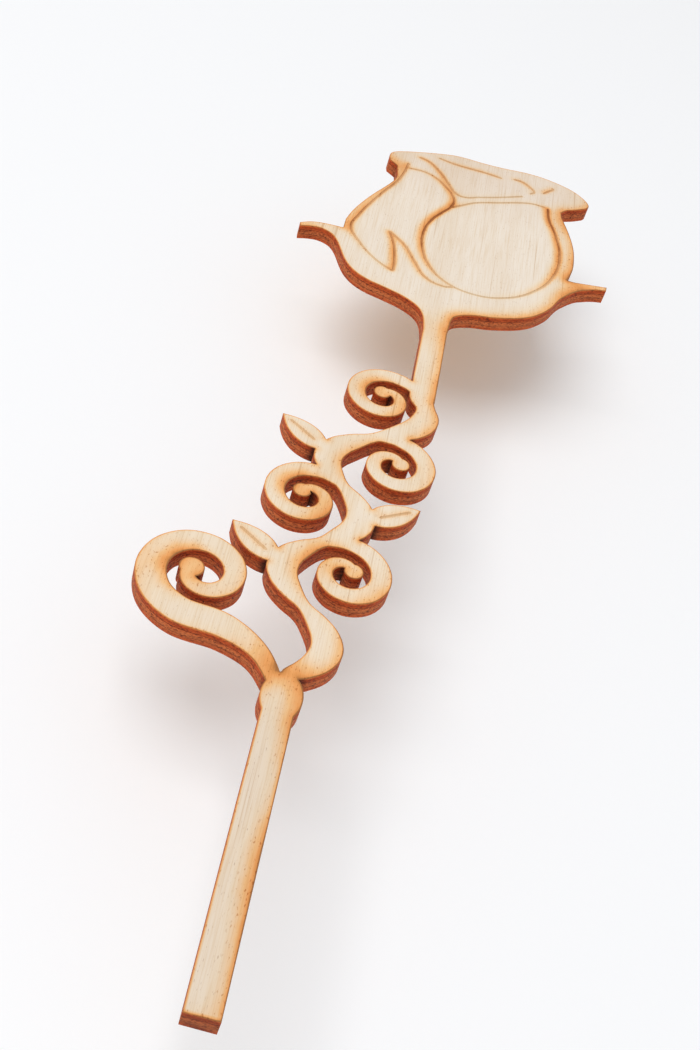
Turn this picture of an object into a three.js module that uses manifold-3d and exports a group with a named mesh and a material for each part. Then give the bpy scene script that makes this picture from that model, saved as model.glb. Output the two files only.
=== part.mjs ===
import * as THREE from 'three';
import { mergeVertices } from 'three/addons/utils/BufferGeometryUtils.js';
import Module from 'manifold-3d';

// A flat cake topper, laser-cut from three-ply birch plywood: a pick, a vine scroll and a rose.
// It lies on its back. +Y runs along the pick towards the rose, +Z is the engraved side.
// All sizes are in millimetres, and shares of a size say so.

// Plywood sheet
const veneerThickness = 0.95;
const glueThickness = 0.075;

// Pick that goes into the cake, and the knot where the vine starts
const pickWidth = 4.5;
const pickLength = 45;
const knotWidth = 6;
const knotLength = 9;

// Vine scroll between the knot and the stalk
const vineLength = 69;
const vineSwing = 4.6;
const vineBends = 5;
const vineThick = 4.8;
const vineThin = 2.2;

// Curls in the bays of the vine, each round an eye
const curlRadius = 6.9;
const curlEndRadius = 1.4;
const curlTurns = 1.25;
const curlThick = 3.3;
const curlThin = 1.5;
const curlEyeRadius = 1.5;

// Large volute that springs from the knot to the left
const voluteReach = 17;
const voluteRise = 10.2;
const voluteRadius = 8.4;
const voluteEndRadius = 1.7;
const voluteTurns = 1.25;
const voluteThick = 5;
const voluteThin = 2;
const voluteEyeRadius = 1.9;

// Leaves on the outside of the vine's bends
const leafLength = 11;
const leafWidth = 4.8;
const leafAngle = 35;

// Stalk of the rose
const stalkWidth = 4.5;
const stalkOffset = 11.2;
const stalkLength = 24;

// Rose
const bloomWidth = 46.5;
const bloomHeight = 64.8;
const bloomLean = 1.75;

// Engraved lines
const grooveWidth = 0.6;
const grooveDepth = 0.2;

// Furthest that a straight facet may stray from the curve that it stands for
const facetError = 0.05;

// Where the sub-parts meet along the topper
const knotY = pickLength + knotLength * 0.3;
const vineY = pickLength + knotLength * 0.7;
const stalkY = vineY + vineLength;
const bloomY = stalkY + stalkLength;

const wasm = await Module();
wasm.setup();

// A closed three.js geometry as a solid
function solid(geometry) {
  const bare = geometry.clone();
  bare.deleteAttribute('normal');
  bare.deleteAttribute('uv');
  const merged = mergeVertices(bare, 1e-5);
  const mesh = new wasm.Mesh({
    numProp: 3,
    vertProperties: merged.attributes.position.array,
    triVerts: merged.index.array,
  });
  return new wasm.Manifold(mesh);
}

// A solid back as a three.js geometry
function geometryOf(body) {
  const mesh = body.getMesh();
  const geometry = new THREE.BufferGeometry();
  geometry.setAttribute('position', new THREE.BufferAttribute(mesh.vertProperties, 3));
  geometry.setIndex(new THREE.BufferAttribute(mesh.triVerts, 1));
  return geometry;
}

// A closed outline standing from one height to another
function slab(outline, low, high) {
  const geometry = new THREE.ExtrudeGeometry(new THREE.Shape(outline), {
    depth: high - low,
    bevelEnabled: false,
  });
  geometry.translate(0, 0, low);
  return solid(geometry);
}

function unite(bodies) {
  return bodies.reduce((whole, body) => whole.add(body));
}

// How far a point lies from the straight line between two others
function strayFrom(from, to, point) {
  const chord = to.clone().sub(from);
  return Math.abs(chord.cross(point.clone().sub(from))) / chord.length();
}

// The points of an open curve that its facets need, and no more
function thinned(points) {
  const from = points[0];
  const to = points[points.length - 1];
  const strays = points.map((point) => strayFrom(from, to, point));
  const furthest = strays.indexOf(Math.max(...strays));
  if (strays[furthest] <= facetError) {
    return [from, to];
  }
  return [...thinned(points.slice(0, furthest + 1)).slice(0, -1), ...thinned(points.slice(furthest))];
}

// The points of a half circle from one point to another, without the two points themselves
function roundEnd(from, to) {
  const centre = from.clone().add(to).multiplyScalar(0.5);
  const steps = 4;
  const arc = [];
  for (let i = 1; i < steps; i++) {
    arc.push(from.clone().rotateAround(centre, (Math.PI * i) / steps));
  }
  return arc;
}

// A stroke of changing width with round ends. Each point is [x, y, width].
function stroke(points) {
  const curve = new THREE.CatmullRomCurve3(points.map((point) => new THREE.Vector3(...point)));
  const steps = (points.length - 1) * 6;
  const left = [];
  const right = [];
  for (let i = 0; i <= steps; i++) {
    const at = curve.getPoint(i / steps);
    const ahead = curve.getTangent(i / steps);
    const side = new THREE.Vector2(-ahead.y, ahead.x).setLength(at.z / 2);
    left.push(new THREE.Vector2(at.x, at.y).add(side));
    right.push(new THREE.Vector2(at.x, at.y).sub(side));
  }
  return [
    ...thinned(right),
    ...roundEnd(right[steps], left[steps]),
    ...thinned(left).reverse(),
    ...roundEnd(left[0], right[0]),
  ];
}

function oval(x, y, radiusX, radiusY = radiusX) {
  const sides = Math.ceil(Math.PI / Math.acos(1 - facetError / Math.max(radiusX, radiusY)));
  return new THREE.EllipseCurve(x, y, radiusX, radiusY).getSpacedPoints(sides).slice(0, -1);
}

// Pick with a square end, and the rounded knot on top of it
function pickOutlines() {
  const half = pickWidth / 2;
  const pick = [
    new THREE.Vector2(-half, 0),
    new THREE.Vector2(half, 0),
    new THREE.Vector2(half, knotY),
    new THREE.Vector2(-half, knotY),
  ];
  return [pick, oval(0, knotY, knotWidth / 2, knotLength / 2)];
}

// The vine's centre line swings to each side in turn, and drifts over to the stalk at its end
function vinePoint(share) {
  const drift = stalkOffset * share ** 4;
  const swing = vineSwing * Math.sin(Math.PI * vineBends * share);
  return new THREE.Vector2(drift + swing, vineY + vineLength * share);
}

function vineHeading(share) {
  const small = 0.001;
  return vinePoint(share + small).sub(vinePoint(share - small)).normalize();
}

function vineOutline() {
  const steps = vineBends * 6;
  const points = [[0, knotY, vineThin]];
  for (let i = 0; i < steps; i++) {
    const share = i / steps;
    const swell = Math.abs(Math.sin(Math.PI * vineBends * share));
    const at = vinePoint(share);
    points.push([at.x, at.y, vineThin + (vineThick - vineThin) * swell]);
  }
  points.push([stalkOffset, stalkY, stalkWidth], [stalkOffset, stalkY + stalkWidth, stalkWidth]);
  return stroke(points);
}

// Points of a spiral that leaves a start point along a heading and winds in at a steady rate.
// Turn is +1 to wind to the left and -1 to wind to the right.
function spiral({ start, heading, turn, radius, endRadius, turns, widthAt }) {
  const toCentre = new THREE.Vector2(-heading.y, heading.x).multiplyScalar(turn * radius);
  const centre = start.clone().add(toCentre);
  const steps = Math.round(turns * 10);
  const points = [];
  for (let i = 0; i <= steps; i++) {
    const share = i / steps;
    const reach = radius + (endRadius - radius) * share;
    const at = start.clone().sub(centre).setLength(reach).add(centre);
    at.rotateAround(centre, turn * 2 * Math.PI * turns * share);
    points.push([at.x, at.y, widthAt(share)]);
  }
  return points;
}

// A curl in each bay of the vine but the first, which the volute fills
function curlOutlines() {
  const outlines = [];
  for (let bend = 1; bend < vineBends; bend++) {
    const share = (bend + 1) / vineBends;
    const points = spiral({
      start: vinePoint(share),
      heading: vineHeading(share),
      turn: bend % 2 === 0 ? 1 : -1,
      radius: curlRadius,
      endRadius: curlEndRadius,
      turns: curlTurns,
      widthAt: (along) => curlThin + (curlThick - curlThin) * Math.sin(Math.PI * Math.sqrt(along)),
    });
    const [eyeX, eyeY] = points[points.length - 1];
    outlines.push(stroke(points), oval(eyeX, eyeY, curlEyeRadius));
  }
  return outlines;
}

// Large volute: a swelling stroke out of the knot, then a spiral round its eye
function voluteOutlines() {
  const winding = spiral({
    start: new THREE.Vector2(-voluteReach, knotY + voluteRise),
    heading: new THREE.Vector2(-1, 0.2).normalize(),
    turn: -1,
    radius: voluteRadius,
    endRadius: voluteEndRadius,
    turns: voluteTurns,
    widthAt: (along) => voluteThick + (voluteThin - voluteThick) * along,
  });
  const points = [
    [0, knotY, voluteThin],
    [-voluteReach * 0.27, knotY + voluteRise * 0.65, voluteThick * 0.65],
    [-voluteReach * 0.6, knotY + voluteRise * 0.93, voluteThick * 0.95],
    ...winding,
  ];
  const [eyeX, eyeY] = points[points.length - 1];
  return [stroke(points), oval(eyeX, eyeY, voluteEyeRadius)];
}

// Leaves grow from the outside of the middle bends. Each is its root and its tip.
function leaves() {
  const grown = [];
  for (let bend = 1; bend < vineBends - 1; bend++) {
    const root = vinePoint((bend + 0.5) / vineBends);
    const side = bend % 2 === 0 ? 1 : -1;
    const angle = THREE.MathUtils.degToRad(leafAngle);
    const tip = new THREE.Vector2(side * Math.cos(angle), Math.sin(angle));
    grown.push({ root, tip: tip.multiplyScalar(leafLength).add(root) });
  }
  return grown;
}

function leafOutline({ root, tip }) {
  const spine = tip.clone().sub(root);
  const side = new THREE.Vector2(-spine.y, spine.x).setLength(leafWidth * 0.67);
  const edge = (sign) => new THREE.CubicBezierCurve(
    root,
    root.clone().addScaledVector(spine, 0.3).addScaledVector(side, sign),
    root.clone().addScaledVector(spine, 0.65).addScaledVector(side, sign),
    tip,
  ).getPoints(24);
  return [...thinned(edge(-1)).slice(0, -1), ...thinned(edge(1)).reverse().slice(0, -1)];
}

function stalkOutline() {
  const half = stalkWidth / 2;
  return [
    new THREE.Vector2(stalkOffset - half, stalkY),
    new THREE.Vector2(stalkOffset + half, stalkY),
    new THREE.Vector2(stalkOffset + half, bloomY + half),
    new THREE.Vector2(stalkOffset - half, bloomY + half),
  ];
}

// Places on the rose, in per cent of its width from the middle and of its height from the stalk
function bloomPoint([across, up]) {
  const x = stalkOffset + bloomLean + (bloomWidth * across) / 100;
  const y = bloomY + (bloomHeight * up) / 100;
  return new THREE.Vector2(x, y);
}

// The rose runs into the stalk's edge a little below its foot, on the left (-1) and the right (+1)
function bloomFoot(side) {
  return new THREE.Vector2(stalkOffset + (side * stalkWidth) / 2, bloomY - stalkWidth * 0.7);
}

// Stretches of the rose's edge, from foot to foot. Each is smooth, and they meet at corners.
const bloomEdge = [
  [[-10, 1], [-13, 4.6], [-18.5, 7.1], [-25.5, 8.7], [-33, 9.9], [-38.6, 11.7], [-42.2, 13.8],
    [-45.2, 16.6], [-47.9, 20.6], [-50.6, 25.1], [-53.8, 28.3], [-58.5, 29.6], [-63, 29],
    [-67.3, 27.6]],
  [[-67.7, 29.4], [-63.7, 31.5], [-59.5, 32.6], [-55.5, 33.1], [-50, 33.6]],
  [[-50, 38.7], [-48, 45.2], [-44.2, 53.2], [-39.8, 60.7], [-35.4, 67.7], [-33.6, 72.8],
    [-34.8, 79.2]],
  [[-38.7, 81.5], [-39.3, 84.3], [-38.3, 86.8], [-35.3, 88.6], [-30.8, 90.4], [-24, 92.8],
    [-17.2, 94.9], [-11, 96.6], [-4.9, 97.3], [2, 97.4], [9.2, 97.8], [16.4, 98.6], [23.7, 99.6],
    [31, 99.9], [38.5, 99.2], [45.9, 97.6], [50.9, 95.3], [54.4, 92.5], [55.5, 90.1], [54.3, 88.1]],
  [[49.6, 85.4], [45.5, 83.5], [42.8, 80.7]],
  [[43.2, 77.7], [46.6, 70.3], [49.2, 62.7], [50.2, 56], [50, 48.4], [48, 41.6]],
  [[51.6, 41.8], [58.1, 42.9], [65.6, 44.3]],
  [[65.4, 42.3], [61.7, 41.4], [58.2, 40], [53.8, 37.9], [49.8, 34.6], [45.5, 29.9], [41.8, 23.6],
    [36.6, 18.1], [31, 14.5], [23.9, 11.7], [17, 9.6], [10.4, 8.2], [4.5, 5.8], [2, 2.9]],
];

function bloomOutline() {
  const stretches = bloomEdge.map((stretch) => stretch.map(bloomPoint));
  stretches[0].unshift(bloomFoot(-1));
  stretches[stretches.length - 1].push(bloomFoot(1));
  return stretches.flatMap((points) => {
    const curve = new THREE.SplineCurve(points);
    return thinned(curve.getPoints(points.length * 5));
  });
}

// Engraved lines of the rose: the left petal, the sepal, the front petal, the rolled edges, the heart
const bloomLines = [
  [[-30, 83], [-30.8, 77], [-31.9, 72.5], [-33.8, 67.7], [-37.2, 61.4], [-41, 53.5], [-45.2, 43.3],
    [-47, 35.1], [-42, 28.5], [-33, 21.4], [-25.5, 18.3]],
  [[-25.5, 18.3], [-26, 24.4], [-28, 33.1], [-31, 39.2]],
  [[-31, 39.2], [-23.5, 34.1], [-17.5, 26.5], [-11.5, 19.9], [-4, 18.3], [0.5, 19.4]],
  [[-29.8, 79.6], [-22, 80.2], [-16, 78.4], [-11.3, 74.9], [-7.9, 71.4], [-6.4, 68], [-7.3, 63.6],
    [-10.3, 59.1], [-14.2, 53], [-16.7, 44.3], [-15.5, 34.6], [-11, 26.5], [-3.5, 20.9], [8, 18.8],
    [21, 21.4], [33.5, 29.5], [41.8, 41.8], [43.7, 54.5], [41.2, 65.2], [37.3, 74.4], [36.4, 81]],
  [[-26.2, 88.6], [-21.3, 87.7], [-17, 84.7], [-13.1, 80.8], [-9.6, 76.2], [-6.3, 72.7],
    [-2.9, 71.9], [4.7, 74.8], [13.7, 78.6], [24.5, 83.8]],
  [[-6.9, 63.4], [-2.6, 66.5], [2.9, 70.4], [14.1, 75.2], [23.2, 79], [29.2, 80.8], [35.6, 80.9]],
  [[-17.5, 91.9], [-9.3, 91], [-2.1, 91.1], [5.1, 91.4], [13.8, 91.1]],
  [[18.5, 92.9], [23.3, 92.8], [26.9, 90.9], [29.2, 88.5], [27.3, 86.4]],
  [[33.3, 89.2], [36, 92.1], [37.8, 94.1], [37.2, 95.1]],
];

// The engraved lines as solids that reach down into the face veneer
function grooves(faceTop) {
  const lines = bloomLines.map((line) => line.map(bloomPoint));
  for (const { root, tip } of leaves()) {
    lines.push([root.clone().lerp(tip, 0.3), root.clone().lerp(tip, 0.85)]);
  }
  return lines.map((line) => {
    const points = line.map((at) => [at.x, at.y, grooveWidth]);
    return slab(stroke(points), faceTop - grooveDepth, faceTop + grooveDepth);
  });
}

// The plan of the whole topper, one millimetre high, that every layer is cut to
const outlines = [
  ...pickOutlines(),
  vineOutline(),
  ...curlOutlines(),
  ...voluteOutlines(),
  ...leaves().map(leafOutline),
  stalkOutline(),
  bloomOutline(),
];
const plan = unite(outlines.map((outline) => slab(outline, 0, 1)));

const birch = { color: 0xe9dcc4, roughness: 0.65 };
const charredCore = { color: 0x8f4a2a, roughness: 0.8 };
const resin = { color: 0x3a1d12, roughness: 0.5 };

// The layers of the sheet from the bottom up
const layers = [
  { name: 'back_veneer', thickness: veneerThickness, finish: birch },
  { name: 'back_glue_line', thickness: glueThickness, finish: resin },
  { name: 'core_veneer', thickness: veneerThickness, finish: charredCore },
  { name: 'front_glue_line', thickness: glueThickness, finish: resin },
  { name: 'face_veneer', thickness: veneerThickness, finish: birch, engraved: true },
];

const sheet = new THREE.Group();
let height = 0;
for (const layer of layers) {
  const geometry = geometryOf(plan);
  geometry.scale(1, 1, layer.thickness);
  geometry.translate(0, 0, height);
  height += layer.thickness;
  const cuts = layer.engraved ? grooves(height) : [];
  const body = cuts.reduce((rest, cut) => rest.subtract(cut), solid(geometry));
  const material = new THREE.MeshStandardMaterial({ ...layer.finish, metalness: 0 });
  const mesh = new THREE.Mesh(geometryOf(body), material);
  mesh.name = layer.name;
  sheet.add(mesh);
}

// The origin is under the middle of the topper, on the face it lies on
const middle = new THREE.Box3().setFromObject(sheet).getCenter(new THREE.Vector3());
sheet.position.set(-middle.x, -middle.y, 0);

const cakeTopper = new THREE.Group();
cakeTopper.add(sheet);

export default cakeTopper;
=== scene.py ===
import math

import bpy
import numpy as np
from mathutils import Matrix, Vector, noise
from mathutils.geometry import interpolate_bezier


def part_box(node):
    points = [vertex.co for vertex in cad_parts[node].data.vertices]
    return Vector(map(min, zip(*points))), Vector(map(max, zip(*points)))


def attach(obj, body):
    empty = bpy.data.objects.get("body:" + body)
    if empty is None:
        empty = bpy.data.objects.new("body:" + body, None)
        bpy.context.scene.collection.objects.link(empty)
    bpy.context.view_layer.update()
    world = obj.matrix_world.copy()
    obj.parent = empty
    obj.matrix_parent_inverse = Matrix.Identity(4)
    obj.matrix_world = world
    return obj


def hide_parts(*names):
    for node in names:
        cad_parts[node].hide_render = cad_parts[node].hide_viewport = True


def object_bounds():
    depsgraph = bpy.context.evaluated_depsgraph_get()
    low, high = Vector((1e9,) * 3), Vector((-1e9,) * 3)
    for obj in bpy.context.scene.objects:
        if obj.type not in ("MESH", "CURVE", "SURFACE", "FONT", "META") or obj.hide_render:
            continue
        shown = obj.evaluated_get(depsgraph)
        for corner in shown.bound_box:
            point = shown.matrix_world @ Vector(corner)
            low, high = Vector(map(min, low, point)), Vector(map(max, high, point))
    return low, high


# A flat rose topper, laser-cut from three-ply birch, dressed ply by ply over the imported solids.
# It lies on its back, +Y from the pick to the rose. Sizes in the dictionaries are millimetres.

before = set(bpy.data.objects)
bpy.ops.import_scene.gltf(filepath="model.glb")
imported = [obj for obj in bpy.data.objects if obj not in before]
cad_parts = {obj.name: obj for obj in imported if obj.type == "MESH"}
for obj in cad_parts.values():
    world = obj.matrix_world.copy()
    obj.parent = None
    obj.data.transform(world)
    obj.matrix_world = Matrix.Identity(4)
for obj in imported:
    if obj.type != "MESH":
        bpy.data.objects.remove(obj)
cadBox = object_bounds()
mm = 0.001
weld = 1e-6  # metres within which two points are one


def pickOut(piece):
    # leaves only this piece selected, and active
    bpy.ops.object.select_all(action="DESELECT")
    piece.select_set(True)
    bpy.context.view_layer.objects.active = piece


def copyOf(piece, name):
    pickOut(piece)
    bpy.ops.object.duplicate()
    copy = bpy.context.object
    copy.name = name
    return copy


def editAll(piece):
    pickOut(piece)
    bpy.ops.object.mode_set(mode="EDIT")
    bpy.ops.mesh.select_all(action="SELECT")


def doneEditing():
    bpy.ops.object.mode_set(mode="OBJECT")


def corners(piece):
    # a mesh's points as rows of millimetres
    points = np.empty(len(piece.data.vertices) * 3)
    piece.data.vertices.foreach_get("co", points)
    return points.reshape(-1, 3) / mm


# Camera at the photograph's place: the pick is near and the rose is far
viewpoint = {
    "place": (-17.57, -185.09, 153.84),
    "turn": (46.01, -13.98, 8.91),  # degrees
    "lens": 50,
    "filmWidth": 36,
    "nearest": 10,  # nothing closer to the lens is drawn
}


def placeCamera():
    bpy.ops.object.camera_add(
        location=Vector(viewpoint["place"]) * mm,
        rotation=[math.radians(angle) for angle in viewpoint["turn"]],
    )
    camera = bpy.context.object
    camera.data.lens = viewpoint["lens"]
    camera.data.sensor_width = viewpoint["filmWidth"]
    camera.data.clip_start = viewpoint["nearest"] * mm
    bpy.context.scene.camera = camera


placeCamera()
print("camera placed")


def colour(hexText):
    # sRGB hex to the linear colour that a shader wants
    channels = [int(hexText[i:i + 2], 16) / 255 for i in (1, 3, 5)]
    return [c / 12.92 if c <= 0.04045 else ((c + 0.055) / 1.055) ** 2.4 for c in channels] + [1.0]


def newMaterial(name):
    material = bpy.data.materials.new(name)
    material.use_nodes = True
    material.node_tree.nodes.clear()
    return material


def addNode(owner, kind, inputs=None, out=0, stops=(), **settings):
    # one node with its settings, its inputs as values or links, and a ramp's stops; gives back an output
    tree = owner.node_tree
    node = tree.nodes.new("ShaderNode" + kind)
    for key, value in settings.items():
        setattr(node, key, value)
    for key, value in (inputs or {}).items():
        if isinstance(value, bpy.types.NodeSocket):
            tree.links.new(value, node.inputs[key])
        else:
            node.inputs[key].default_value = value
    if stops:
        elements = node.color_ramp.elements
        elements[0].position = stops[0][0]
        elements[1].position = stops[-1][0]
        for stop in stops[1:-1]:
            elements.new(stop[0])
        for element, stop in zip(elements, stops):
            element.color = colour(stop[1])
    return node.outputs[out] if node.outputs else None


def woodPatterns(material, place, look, names):
    # the look's noises, each with patches that measure so many millimetres along X, Y and Z
    patterns = {}
    for name in names:
        scale = [1 / (size * mm) for size in look[name]["patch"]]
        spread = addNode(material, "Mapping", {"Vector": place, "Scale": scale})
        patterns[name] = addNode(material, "TexNoise", {
            "Vector": spread, "Scale": 1.0, "Detail": look[name]["detail"],
            "Roughness": look["fineness"]}, out="Fac")
    return patterns


def surface(material, base, height, look):
    bump = addNode(material, "Bump", {"Height": height, "Distance": look["relief"] * mm})
    shader = addNode(material, "BsdfPrincipled", {
        "Base Color": base, "Roughness": look["roughness"], "IOR": look["ior"],
        "Specular IOR Level": look["specular"], "Normal": bump})
    addNode(material, "OutputMaterial", {"Surface": shader})
    return material


# Rotary-cut birch veneer, sanded. The eye gets a pale cream with silky grain along the topper, a thin
# darker line every few millimetres, small pores, amber scorching with brown flecks wherever the laser
# passed, and a painted shade that darkens the sheet a little towards both ends.
sandedBirch = {
    "scorching": [(0.0, "#F0E4D5"), (0.12, "#F1DEC4"), (0.35, "#F4C48C"), (0.6, "#F0A864"),
                  (0.8, "#D8914F"), (1.0, "#A8703F")],
    "fullHeat": 2.4,
    # painted shade along the sheet, darker towards both ends, pick end first
    "paintedEndShade": [(0.0, "#F4F2F1"), (0.2, "#F5F3F2"), (0.27, "#FFFFFF"), (0.88, "#FFFFFF"), (0.96, "#F8F4F2")],
    # each pattern fades in over a stretch of its noise, up to its strength
    "figure": {"patch": (4, 70, 5), "detail": 3, "fade": (0.4, 0.7), "strength": 0.3, "tint": "#EBDAC0"},
    "grain": {"patch": (0.2, 9, 1), "detail": 3, "fade": (0.45, 0.75), "strength": 0.6, "tint": "#EBDAC0"},
    "line": {"patch": (0.7, 45, 1), "detail": 1, "fade": (0.66, 0.75), "strength": 0.55, "tint": "#D9BE9A"},
    "pore": {"patch": (0.13, 0.9, 0.5), "detail": 1, "fade": (0.67, 0.77), "strength": 0.6,
             "tint": "#A98562"},
    "fleck": {"patch": (0.35, 0.8, 0.5), "detail": 1, "fade": (0.64, 0.71), "strength": 0.65,
              "tint": "#C99A68"},
    "fleckHeat": (0.2, 0.6),  # scorching over which the flecks come in
    "mottle": {"patch": (1.6, 3.5, 2.0), "detail": 3, "fade": (0.3, 0.7), "strength": 0.15},
    "fineness": 0.55,  # how much of each noise is in its finest detail
    "ior": 1.45,
    "specular": 0.25,  # open wood reflects less than a sealed surface
    "roughness": 0.6,
    "relief": 0.015,
}
# The side that lay on the laser's bed, browned all over by the smoke
smokedBirch = dict(sandedBirch, **{
    "scorching": [(0.0, "#E0AE72"), (0.15, "#DAA264"), (0.4, "#C98F58"), (0.7, "#A8683A"), (1.0, "#7C431F")],
    "fullHeat": 2.0,
})
# The veneer where the beam has taken its surface away: open, browned and matt
engravedBirch = dict(sandedBirch, **{
    "scorching": [(0.0, "#E2D0B6"), (0.3, "#E2C29A"), (0.6, "#DDAC7A"), (0.85, "#CB8E58"), (1.0, "#AE6D3C")],
    "fullHeat": 1.8,
    "roughness": 0.8,
    "relief": 0.03,
})


def birchVeneer(name, look):
    material = newMaterial(name)
    place = addNode(material, "TexCoord", out="Object")
    marks = ("figure", "grain", "line", "pore", "fleck")
    patterns = woodPatterns(material, place, look, marks + ("mottle",))

    heat = addNode(material, "Attribute", out="Fac", attribute_name="scorch")
    mottle = look["mottle"]
    patchy = addNode(material, "MapRange", {
        "Value": patterns["mottle"], "From Min": mottle["fade"][0], "From Max": mottle["fade"][1],
        "To Min": 1 - mottle["strength"], "To Max": 1 + mottle["strength"]})
    uneven = addNode(material, "Math", {0: heat, 1: patchy}, operation="MULTIPLY")
    share = addNode(material, "Math", {0: uneven, 1: look["fullHeat"]}, operation="DIVIDE")
    wood = addNode(material, "ValToRGB", {"Fac": share}, stops=look["scorching"])

    for mark in marks:
        low, high = look[mark]["fade"]
        shown = addNode(material, "MapRange", {
            "Value": patterns[mark], "From Min": low, "From Max": high, "To Max": look[mark]["strength"]})
        if mark == "fleck":
            low, high = look["fleckHeat"]
            toasted = addNode(material, "MapRange", {"Value": heat, "From Min": low, "From Max": high})
            shown = addNode(material, "Math", {0: shown, 1: toasted}, operation="MULTIPLY")
        wood = addNode(material, "MixRGB", {
            "Fac": shown, "Color1": wood, "Color2": colour(look[mark]["tint"])}, blend_type="MULTIPLY")

    # painted shade: the wood is darkened a little towards the pick end and the top of the rose, standing in
    # for less light falling there
    along = addNode(material, "SeparateXYZ", {"Vector": place}, out="Y")
    share = addNode(material, "MapRange", {
        "Value": along, "From Min": cadBox[0].y, "From Max": cadBox[1].y})
    paintedEndShade = addNode(material, "ValToRGB", {"Fac": share}, stops=look["paintedEndShade"])
    wood = addNode(material, "MixRGB", {"Fac": 1.0, "Color1": wood, "Color2": paintedEndShade}, blend_type="MULTIPLY")
    return surface(material, wood, patterns["grain"], look)


# Birch burnt through by the laser. The eye gets a clear orange where the beam went in, a dark red-brown
# under it, a duller mottled brown across the core and a redder line at the table, with black specks
# where the wood's vessels were opened and soot in the tight corners.
charredVeneer = {
    # table side first
    "section": [(0.0, "#DA6E3C"), (0.14, "#CC5F2F"), (0.29, "#D77542"), (0.43, "#D07542"),
                (0.57, "#DC7640"), (0.71, "#CE602B"), (0.84, "#C4501C"), (0.93, "#D8642A"),
                (1.0, "#F8944C")],
    "crust": [(0.32, "#987C6E"), (0.43, "#D6C6BC"), (0.53, "#F8F2EE"), (0.64, "#FFFFFF")],
    "soot": {"fade": (0.1, 1.0), "strength": 0.85, "tint": "#1E0B06"},
    "streak": {"patch": (2.6, 2.6, 0.45), "detail": 3},
    "mottle": {"patch": (0.42, 0.42, 0.3), "detail": 3, "share": 0.55},
    "speck": {"patch": (0.5, 0.5, 0.17), "detail": 1, "fade": (0.58, 0.66), "strength": 0.62,
              "tint": "#421A10"},
    "fineness": 0.55,
    "ior": 1.45,
    "specular": 0.25,
    "roughness": 0.7,
    "relief": 0.05,
}
charredCore = dict(charredVeneer, speck=dict(charredVeneer["speck"], strength=0.9))
charredGlue = dict(charredVeneer, **{
    "crust": [(0.32, "#8E7468"), (0.44, "#AC988E"), (0.54, "#C6B8AE"), (0.66, "#DCD0C8")],
    "roughness": 0.5,
})


def charredEdge(name, look):
    material = newMaterial(name)
    place = addNode(material, "TexCoord", out="Object")
    patterns = woodPatterns(material, place, look, ("streak", "mottle", "speck"))

    height = addNode(material, "SeparateXYZ", {"Vector": place}, out="Z")
    share = addNode(material, "Math", {0: height, 1: cadBox[1].z}, operation="DIVIDE")
    burnt = addNode(material, "ValToRGB", {"Fac": share}, stops=look["section"])
    texture = addNode(material, "MixRGB", {
        "Fac": look["mottle"]["share"], "Color1": patterns["streak"], "Color2": patterns["mottle"]})
    crust = addNode(material, "ValToRGB", {"Fac": texture}, stops=look["crust"])
    burnt = addNode(material, "MixRGB", {
        "Fac": 1.0, "Color1": burnt, "Color2": crust}, blend_type="MULTIPLY")

    corner = addNode(material, "Attribute", out="Fac", attribute_name="corner")
    for mark, pattern in ((look["speck"], patterns["speck"]), (look["soot"], corner)):
        low, high = mark["fade"]
        shown = addNode(material, "MapRange", {
            "Value": pattern, "From Min": low, "From Max": high, "To Max": mark["strength"]})
        burnt = addNode(material, "MixRGB", {"Fac": shown, "Color1": burnt, "Color2": colour(mark["tint"])})
    return surface(material, burnt, texture, look)


materials = {
    "face": birchVeneer("sandedBirch", sandedBirch),
    "back": birchVeneer("smokedBirch", smokedBirch),
    "engraved": birchVeneer("engravedBirch", engravedBirch),
    "edge": charredEdge("charredVeneer", charredVeneer),
    "core": charredEdge("charredCore", charredCore),
    "glue": charredEdge("charredGlue", charredGlue),
}
print("materials made")


# The plan of the sheet: the edge of the core's upper side, as one smooth curve with its corners kept
plan = {
    "node": "core_veneer",
    "level": 0.9,  # least upward slope of the core's upper side
    "facetError": 0.05,  # how far the solid's straight facets stray from the true curve
    "margin": 1.5,
    "sharpTurn": 60,  # degrees
    "steps": 4,
}


def turnOf(points, i):
    # the turn at a point of a closed line, in radians, and its longer neighbouring stretch
    before = points[i].co - points[i - 1].co
    after = points[(i + 1) % len(points)].co - points[i].co
    return before.angle(after), max(before.length, after.length) / mm


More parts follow.
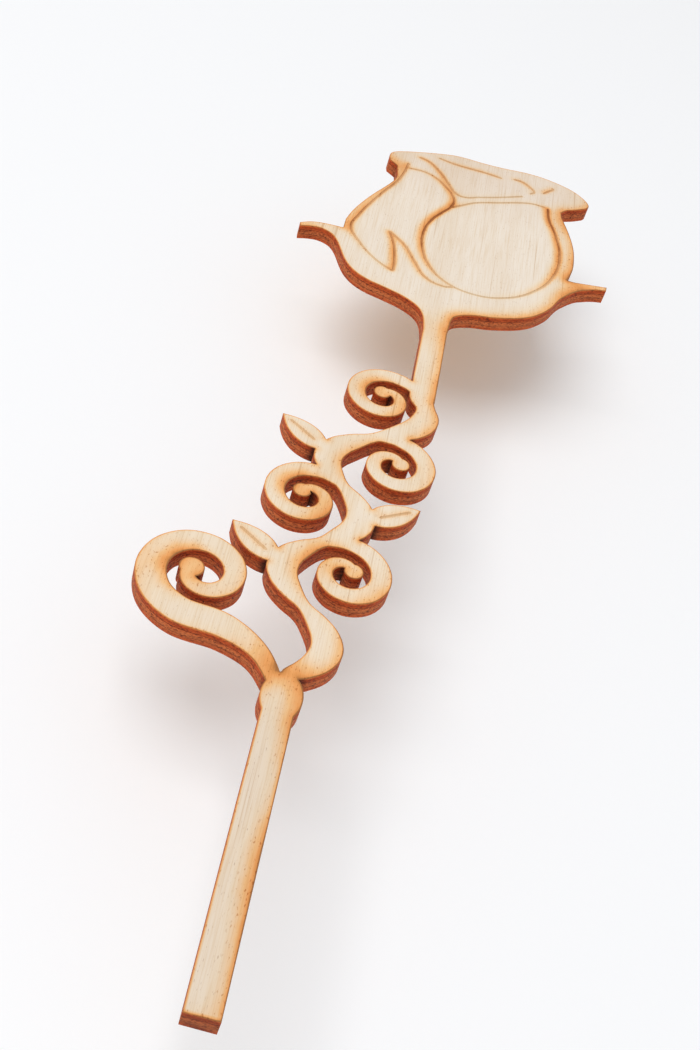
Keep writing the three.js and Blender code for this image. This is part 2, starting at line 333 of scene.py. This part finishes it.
def cutOutline():
    loop = copyOf(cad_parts[plan["node"]], "cutOutline")
    loop.parent = None
    for key in list(loop.keys()):
        del loop[key]
    editAll(loop)
    bpy.ops.mesh.remove_doubles(threshold=weld)
    bpy.ops.mesh.select_all(action="DESELECT")
    doneEditing()
    for face in loop.data.polygons:
        face.select = face.normal.z > plan["level"]
    bpy.ops.object.mode_set(mode="EDIT")
    bpy.ops.mesh.region_to_loop()
    bpy.ops.mesh.select_mode(type="EDGE")
    bpy.ops.mesh.select_all(action="INVERT")
    bpy.ops.mesh.delete(type="EDGE")
    doneEditing()
    bpy.ops.object.convert(target="CURVE")
    curve = bpy.context.object.data
    curve.dimensions = "2D"
    curve.fill_mode = "NONE"
    bpy.ops.object.mode_set(mode="EDIT")
    bpy.ops.curve.select_all(action="SELECT")
    bpy.ops.curve.spline_type_set(type="BEZIER")
    bpy.ops.curve.handle_type_set(type="AUTOMATIC")
    doneEditing()
    spline = curve.splines[0]
    spline.resolution_u = plan["steps"]
    points = spline.bezier_points
    for i, point in enumerate(points):
        turn, reach = turnOf(points, i)
        # a facet strays from its arc by an eighth of its length times its turn, and more is a corner
        stray = turn * reach / 8
        if turn > math.radians(plan["sharpTurn"]) or stray > plan["facetError"] * plan["margin"]:
            point.handle_left_type = "VECTOR"
            point.handle_right_type = "VECTOR"
    bpy.ops.object.convert(target="MESH")
    outline = bpy.context.object
    editAll(outline)
    bpy.ops.mesh.remove_doubles(threshold=weld)
    bpy.ops.mesh.edge_face_add()
    doneEditing()
    return outline


outline = cutOutline()
outlineFace = outline.data.polygons[0]
rim = corners(outline)[list(outlineFace.vertices), :2]
print("outline drawn,", len(rim), "points")


# Plies from the bottom up: their heights come from the frame, and each has its edges eased a little
plies = {
    "grid": 0.5,  # spacing of the cuts that give the scorching its points
    "snap": 0.03,  # a cut this near a point goes through it
    "ease": 0.05,
    "broad": 0.3,  # least upward slope of the broad face and its eased edge
    "rim": 0.2,  # width of the burnt line that the beam leaves along the face's edge
    "coreEase": 0.03,
    "smooth": 35,  # degrees up to which neighbouring faces are shaded as one
}


def heights(node):
    low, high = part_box(node)
    return low.z / mm, high.z / mm


def cutGrid(piece):
    # straight cuts both ways across the broad face
    points = corners(piece)
    for axis, normal in ((1, (0, 1, 0)), (0, (1, 0, 0))):
        at = points[:, axis].min() + plies["grid"]
        while at < points[:, axis].max():
            bpy.ops.mesh.select_all(action="SELECT")
            spot = [at * mm * part for part in normal]
            bpy.ops.mesh.bisect(plane_co=spot, plane_no=normal, threshold=plies["snap"] * mm)
            at += plies["grid"]


def layPly(name, low, high, ease, fine=False):
    # the outline's face raised to the ply's top, its edge eased, then drawn down to a mirrored underside
    piece = copyOf(outline, name)
    editAll(piece)
    bpy.ops.transform.translate(value=(0, 0, (high - ease) * mm))
    bpy.ops.mesh.inset(thickness=ease * mm, depth=ease * mm)
    if fine:
        bpy.ops.mesh.inset(thickness=plies["rim"] * mm, use_even_offset=False)
        cutGrid(piece)
    bpy.ops.mesh.select_all(action="SELECT")
    bpy.ops.mesh.extrude_region_move()
    bpy.ops.transform.resize(value=(1, 1, -1), center_override=(0, 0, (high + low) / 2 * mm))
    bpy.ops.mesh.select_all(action="SELECT")
    bpy.ops.mesh.normals_make_consistent(inside=False)
    doneEditing()
    return piece


facePly = layPly("facePly", *heights("face_veneer"), plies["ease"], fine=True)
print("face ply laid,", len(facePly.data.polygons), "faces")
backPly = copyOf(facePly, "backPly")
editAll(backPly)
middle = sum(heights("core_veneer")) / 2 * mm
bpy.ops.transform.resize(value=(1, 1, -1), center_override=(0, 0, middle))
bpy.ops.mesh.normals_make_consistent(inside=False)
doneEditing()
corePly = layPly("corePly", *heights("core_veneer"), plies["coreEase"])


def runGlue(name, node):
    # resin between two plies, cut flush with them
    piece = copyOf(outline, name)
    low, high = heights(node)
    editAll(piece)
    bpy.ops.transform.translate(value=(0, 0, high * mm))
    bpy.ops.mesh.extrude_region_move(TRANSFORM_OT_translate={"value": (0, 0, (low - high) * mm)})
    bpy.ops.mesh.select_all(action="SELECT")
    bpy.ops.mesh.normals_make_consistent(inside=False)
    doneEditing()
    return piece


frontGlue = runGlue("frontGlue", "front_glue_line")
backGlue = runGlue("backGlue", "back_glue_line")
print("plies and glue laid")


# Engraved lines of the rose: how far across and up in per cent of its size, and how hard each was burnt
rose = {
    "middle": 3.67,
    "foot": 39.79,
    "width": 46.5,
    "height": 64.8,
    "lines": [
        [(-30, 83, 0.4), (-30.8, 77, 0.5), (-31.9, 72.5, 0.5), (-33.8, 67.7, 0.5), (-37.2, 61.4, 0.55),
         (-41, 53.5, 0.6), (-45.2, 43.3, 0.7), (-47, 35.1, 0.6), (-42, 28.5, 0.3), (-33, 21.4, 0.15),
         (-25.5, 18.3, 0.3)],
        [(-25.5, 18.3, 0.6), (-26, 24.4, 0.8), (-28, 33.1, 0.7), (-31, 39.2, 0.3)],
        [(-31, 39.2, 0.3), (-23.5, 34.1, 0.5), (-17.5, 26.5, 0.6), (-11.5, 19.9, 0.4), (-4, 18.3, 0.2),
         (0.5, 19.4, 0.1)],
        [(-29.8, 79.6, 0.3), (-22, 80.2, 0.3), (-16, 78.4, 0.4), (-11.3, 74.9, 0.5), (-7.9, 71.4, 0.7),
         (-6.4, 68, 0.8), (-7.3, 63.6, 0.9), (-10.3, 59.1, 1.0), (-14.2, 53, 1.0), (-16.7, 44.3, 1.0),
         (-15.5, 34.6, 0.8), (-11, 26.5, 0.5), (-3.5, 20.9, 0.2), (8, 18.8, 0.05), (21, 21.4, 0.1),
         (33.5, 29.5, 0.3), (41.8, 41.8, 0.7), (43.7, 54.5, 0.9), (41.2, 65.2, 0.9), (37.3, 74.4, 1.0),
         (36.4, 81, 1.0)],
        [(-26.2, 88.6, 0.4), (-21.3, 87.7, 0.5), (-17, 84.7, 0.55), (-13.1, 80.8, 0.6),
         (-9.6, 76.2, 0.55), (-6.3, 72.7, 0.4), (-2.9, 71.9, 0.2), (4.7, 74.8, 0.1), (13.7, 78.6, 0.1),
         (24.5, 83.8, 0.15)],
        [(-6.9, 63.4, 0.6), (-2.6, 66.5, 0.3), (2.9, 70.4, 0.15), (14.1, 75.2, 0.15), (23.2, 79, 0.15),
         (29.2, 80.8, 0.15), (35.6, 80.9, 0.2)],
        [(-17.5, 91.9, 0.2), (-9.3, 91, 0.3), (-2.1, 91.1, 0.4), (5.1, 91.4, 0.4), (13.8, 91.1, 0.3)],
        [(18.5, 92.9, 0.3), (23.3, 92.8, 0.4), (26.9, 90.9, 0.4), (29.2, 88.5, 0.3), (27.3, 86.4, 0.2)],
        [(33.3, 89.2, 0.4), (36, 92.1, 0.5), (37.8, 94.1, 0.4), (37.2, 95.1, 0.2)],
    ],
}
# The leaves grow from the bends of the vine, and each has a midrib
vine = {"middle": -9.28, "foot": -53.21, "length": 69, "swing": 4.6, "bends": 5,
        "drift": 11.2, "driftPower": 4}
leaf = {"bends": (1, 2, 3), "length": 11, "angle": 35, "rib": (0.3, 0.85), "burn": 0.25}
groove = {"width": 0.55, "depth": 0.18, "end": 0.4, "taper": 0.3, "steps": 8, "sides": 3}


def roseLine(line):
    # points in millimetres, with the burn in place of a height
    points = []
    for across, up, burn in line:
        x = rose["middle"] + rose["width"] * across / 100
        y = rose["foot"] + rose["height"] * up / 100
        points.append(Vector((x, y, burn)))
    return points


def leafRib(bend):
    share = (bend + 0.5) / vine["bends"]
    swing = vine["swing"] * math.sin(math.pi * vine["bends"] * share)
    across = vine["middle"] + vine["drift"] * share ** vine["driftPower"] + swing
    root = Vector((across, vine["foot"] + vine["length"] * share, leaf["burn"]))
    side = 1 if bend % 2 == 0 else -1
    angle = math.radians(leaf["angle"])
    spine = Vector((side * math.cos(angle), math.sin(angle), 0)) * leaf["length"]
    start, end = leaf["rib"]
    return [root + spine * along for along in (start, (start + end) / 2, end)]


def withEnds(line):
    # a point close to each end, so that only the last bit of the groove narrows
    first = line[0].lerp(line[1], groove["end"] / (line[1] - line[0]).length)
    last = line[-1].lerp(line[-2], groove["end"] / (line[-2] - line[-1]).length)
    return [line[0], first, *line[1:-1], last, line[-1]]


def beamPath(line):
    # a rod along the line, sunk so that it takes the groove's width and depth out of the face
    radius = ((groove["width"] / 2) ** 2 + groove["depth"] ** 2) / (2 * groove["depth"])
    height = heights("face_veneer")[1] + radius - groove["depth"]
    curve = bpy.data.curves.new("beamPath", "CURVE")
    curve.dimensions = "3D"
    curve.resolution_u = groove["steps"]
    curve.bevel_depth = radius * mm
    curve.bevel_resolution = groove["sides"]
    curve.use_fill_caps = True
    points = withEnds(line)
    knots = curve.splines.new("BEZIER").bezier_points
    knots.add(len(points) - 1)
    for knot, point in zip(knots, points):
        knot.co = Vector((point.x, point.y, height)) * mm
    knots[0].radius = groove["taper"]
    knots[-1].radius = groove["taper"]
    path = bpy.data.objects.new("beamPath", curve)
    bpy.context.scene.collection.objects.link(path)
    pickOut(path)
    bpy.ops.object.mode_set(mode="EDIT")
    bpy.ops.curve.select_all(action="SELECT")
    bpy.ops.curve.handle_type_set(type="AUTOMATIC")
    doneEditing()
    return path


def stretchesOf(path, line):
    # the line's short stretches as rows of middle, way and burn, for the scorching
    knots = path.data.splines[0].bezier_points
    burns = [point.z for point in withEnds(line)]
    rows = []
    for i in range(len(knots) - 1):
        start, end = knots[i], knots[i + 1]
        handles = (start.co, start.handle_right, end.handle_left, end.co)
        way = interpolate_bezier(*handles, groove["steps"] + 1)
        for j in range(groove["steps"]):
            burn = burns[i] + (burns[i + 1] - burns[i]) * (j + 0.5) / groove["steps"]
            rows.append((*((way[j] + way[j + 1]) / 2 / mm).xy, *((way[j + 1] - way[j]) / mm).xy, burn))
    return rows


def engrave(piece, path):
    pickOut(path)
    bpy.ops.object.convert(target="MESH")
    path.data.materials.append(materials["engraved"])
    editAll(path)
    bpy.ops.mesh.remove_doubles(threshold=weld)
    bpy.ops.mesh.normals_make_consistent(inside=False)
    doneEditing()
    cutter = piece.modifiers.new("engraving", "BOOLEAN")
    cutter.operation = "DIFFERENCE"
    cutter.object = path
    cutter.solver = "MANIFOLD"
    pickOut(piece)
    bpy.ops.object.modifier_apply(modifier="engraving")
    bpy.data.objects.remove(path)


def giveEdgeSlot(piece, height):
    # the broad face and its eased edge keep the first slot, and the rest takes the second
    for face in piece.data.polygons:
        broad = abs(face.normal.z) > plies["broad"] and abs(face.center.z / mm - height) < plies["ease"]
        face.material_index = 0 if broad else 1


facePly.data.materials.append(materials["face"])
facePly.data.materials.append(materials["edge"])
facePly.data.materials.append(materials["engraved"])
giveEdgeSlot(facePly, heights("face_veneer")[1])
burntLines = []
for line in [roseLine(line) for line in rose["lines"]] + [leafRib(bend) for bend in leaf["bends"]]:
    path = beamPath(line)
    burntLines += stretchesOf(path, line)
    engrave(facePly, path)
burntLines = np.array(burntLines)
print("lines engraved,", len(facePly.data.polygons), "faces")

backPly.data.materials.append(materials["back"])
backPly.data.materials.append(materials["edge"])
giveEdgeSlot(backPly, heights("back_veneer")[0])
corePly.data.materials.append(materials["core"])
frontGlue.data.materials.append(materials["glue"])
backGlue.data.materials.append(materials["glue"])


# Heat that each cut leaves in the wood round it. A reach is how far it spreads, a heat is its strength at
# the cut, and smoked is what the smoke adds on its side.
scorching = {
    "smoke": (-0.92, 0.39),  # the way the smoke was blown
    "smokeFall": 1.5,
    "near": {"reach": 0.12, "heat": 1.9, "smoked": 0.4},  # the brown line at the very edge
    "halo": {"reach": 0.75, "heat": 0.08, "smoked": 0.35},
    "stain": {"reach": 1.6, "smoked": 0.6, "uneven": 1.2},
    "haze": {"reach": 3.0, "heat": 0.04},  # makes the narrow parts a little darker than the rose
    "patch": 14.0,  # length of stronger and weaker stretches
    "slice": 0.5,  # which level of the noise they are read from
    "far": 4,  # reaches past which a source adds nothing that shows
    "step": 0.25,
    "notch": {"turn": 40, "reach": 0.7, "heat": 0.5},  # inner corners past so many degrees are overburnt
    "line": {"reach": 0.3, "heat": 0.1, "burn": 0.9},
    "lineHalo": {"reach": 0.65, "burn": 1.3, "drift": 0.5},
    # soot where a cut began or ended, as across, up, reach and strength
    "ends": [(-9.28, -104.5, 2.5, 0.5)],
    # spots where the wood flared up, as across, up, reach and strength
    "flares": [(22.2, 88.6, 3.5, 1.3), (25, 64.6, 3, 1.0), (29.2, 63.6, 4, 0.4), (-19.3, 62.9, 2.5, 0.5),
               (-13.3, 92.4, 1.5, 1.5), (3.5, 38.4, 4, 0.5), (-9.8, -53.8, 2.2, 1.3),
               (-7.6, -56.4, 2.5, 0.7), (-14, -50.3, 3.5, 0.6), (-33.3, -40.4, 5, 0.5)],
}


def cutSources():
    # short stretches of the outline: middles, lengths, which of them the smoke met, patchiness and flares
    middle, length, outward = [], [], []
    for start, end in zip(rim, np.roll(rim, -1, axis=0)):
        way = end - start
        count = math.ceil(np.hypot(*way) / scorching["step"])
        for i in range(count):
            middle.append(start + way * (i + 0.5) / count)
            length.append(np.hypot(*way) / count)
            outward.append((way[1], -way[0]) / np.hypot(*way))
    middle = np.array(middle)
    side = -np.array(outward) @ np.array(scorching["smoke"])
    patch, level = scorching["patch"], scorching["slice"]
    uneven = np.array([noise.noise(Vector((x / patch, y / patch, level))) for x, y in middle])
    flare = np.zeros(len(middle))
    for across, up, reach, strength in scorching["flares"]:
        gap = ((middle - (across, up)) ** 2).sum(axis=1)
        flare += strength * np.exp(-gap / (2 * reach ** 2))
    return middle, np.array(length), side, uneven, flare


def notches():
    # inner corners of the outline, with how sharply they turn
    back = rim - np.roll(rim, 1, axis=0)
    ahead = np.roll(rim, -1, axis=0) - rim
    cross = back[:, 0] * ahead[:, 1] - back[:, 1] * ahead[:, 0]
    turn = np.degrees(np.arctan2(cross, (back * ahead).sum(axis=1)))
    sharp = turn < -scorching["notch"]["turn"]
    return rim[sharp], np.clip(-turn[sharp] / 90, 0, 1)  # a right angle or more counts in full


def heatFrom(points, sources, strengths, reach):
    # the sources' heat at each point, fading over the reach, worked out square by square
    total = np.zeros(len(points))
    square = scorching["far"] * reach
    squares, home = np.unique(np.floor(points / square), axis=0, return_inverse=True)
    home = home.ravel()
    order = np.argsort(home)
    groups = np.split(order, np.cumsum(np.bincount(home))[:-1])
    for spot, here in zip(squares, groups):
        near = (np.abs(sources - (spot + 0.5) * square) < 1.5 * square).all(axis=1)
        gap = ((points[here][:, None, :] - sources[near][None, :, :]) ** 2).sum(axis=2)
        total[here] = (np.exp(-gap / (2 * reach ** 2)) * strengths[near]).sum(axis=1)
    return total


def perLength(reach):
    # brings a long straight cut's heat to its own strength at the cut
    return 1 / (math.sqrt(2 * math.pi) * reach)


def store(piece, name, values):
    attribute = piece.data.attributes.new(name, "FLOAT", "POINT")
    attribute.data.foreach_set("value", values.astype(np.float32))


def scorch(piece, lines=None):
    points = corners(piece)[:, :2]
    middle, length, side, uneven, flare = cutSources()
    smoked = np.clip(side, 0, 1) ** scorching["smokeFall"]
    inner, sharpness = notches()
    notch = scorching["notch"]
    corner = heatFrom(points, inner, sharpness, notch["reach"])
    heat = corner * notch["heat"]
    near, halo, stain, haze = [scorching[layer] for layer in ("near", "halo", "stain", "haze")]
    layers = [
        (near["heat"] + near["smoked"] * side, near["reach"]),
        ((halo["heat"] + halo["smoked"] * smoked) * (1 + uneven), halo["reach"]),
        (stain["smoked"] * smoked * (1 + stain["uneven"] * uneven) + flare, stain["reach"]),
        (haze["heat"], haze["reach"]),
    ]
    for strength, reach in layers:
        heat += heatFrom(points, middle, strength * length * perLength(reach), reach)
    if lines is not None:
        places, length, burn = lines[:, 0:2], np.hypot(*lines[:, 2:4].T), lines[:, 4]
        line, halo = scorching["line"], scorching["lineHalo"]
        drift = np.array(scorching["smoke"]) * halo["drift"]
        strength = (line["heat"] + line["burn"] * burn) * length * perLength(line["reach"])
        heat += heatFrom(points, places, strength, line["reach"])
        strength = halo["burn"] * burn * length * perLength(halo["reach"])
        heat += heatFrom(points, places + drift, strength, halo["reach"])
    for across, up, reach, strength in scorching["ends"]:
        corner += heatFrom(points, np.array([(across, up)]), np.array([strength]), reach)
    store(piece, "scorch", heat)
    store(piece, "corner", corner)


scorch(facePly, burntLines)
for piece in (backPly, corePly, frontGlue, backGlue):
    scorch(piece)
print("edges scorched")


def handOver(piece, node):
    pickOut(piece)
    bpy.ops.object.shade_smooth_by_angle(angle=math.radians(plies["smooth"]))
    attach(piece, "root")
    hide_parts(node)


handOver(facePly, "face_veneer")
handOver(frontGlue, "front_glue_line")
handOver(corePly, "core_veneer")
handOver(backGlue, "back_glue_line")
handOver(backPly, "back_veneer")
bpy.data.objects.remove(outline)


# Plain white table, with the topper held clear of it, so that its shadow is soft and faint
table = {
    "size": 4000,
    "gap": 21,
    "colour": "#FBFCFE",
    "roughness": 0.4,
    "specular": 0.3,
}


def layTable():
    bpy.ops.mesh.primitive_plane_add(size=table["size"] * mm, location=(0, 0, -table["gap"] * mm))
    floor = bpy.context.object
    floor.name = "table"
    material = newMaterial("paper")
    shader = addNode(material, "BsdfPrincipled", {
        "Base Color": colour(table["colour"]), "Roughness": table["roughness"],
        "Specular IOR Level": table["specular"]})
    addNode(material, "OutputMaterial", {"Surface": shader})
    floor.data.materials.append(material)


lights = {"sky": 0.57, "softbox": 14.2, "size": 1300, "place": (-500, -100, 1500)}


def lightStudio():
    world = bpy.data.worlds.new("studio")
    world.use_nodes = True
    world.node_tree.nodes.clear()
    # the camera sees a white backdrop past the table, and everything else gets the dimmer sky
    seen = addNode(world, "LightPath", out="Is Camera Ray")
    strength = addNode(world, "MapRange", {"Value": seen, "To Min": lights["sky"], "To Max": 1.0})
    sky = addNode(world, "Background", {"Color": (1, 1, 1, 1), "Strength": strength})
    addNode(world, "OutputWorld", {"Surface": sky})
    bpy.context.scene.world = world
    place = Vector(lights["place"]) * mm
    aim = (-place).to_track_quat("-Z", "Y").to_euler()
    bpy.ops.object.light_add(type="AREA", location=place, rotation=aim)
    softbox = bpy.context.object
    softbox.data.size = lights["size"] * mm
    softbox.data.energy = lights["softbox"]


layTable()
lightStudio()
bpy.context.scene.view_settings.view_transform = "Standard"
print("table and lights set")
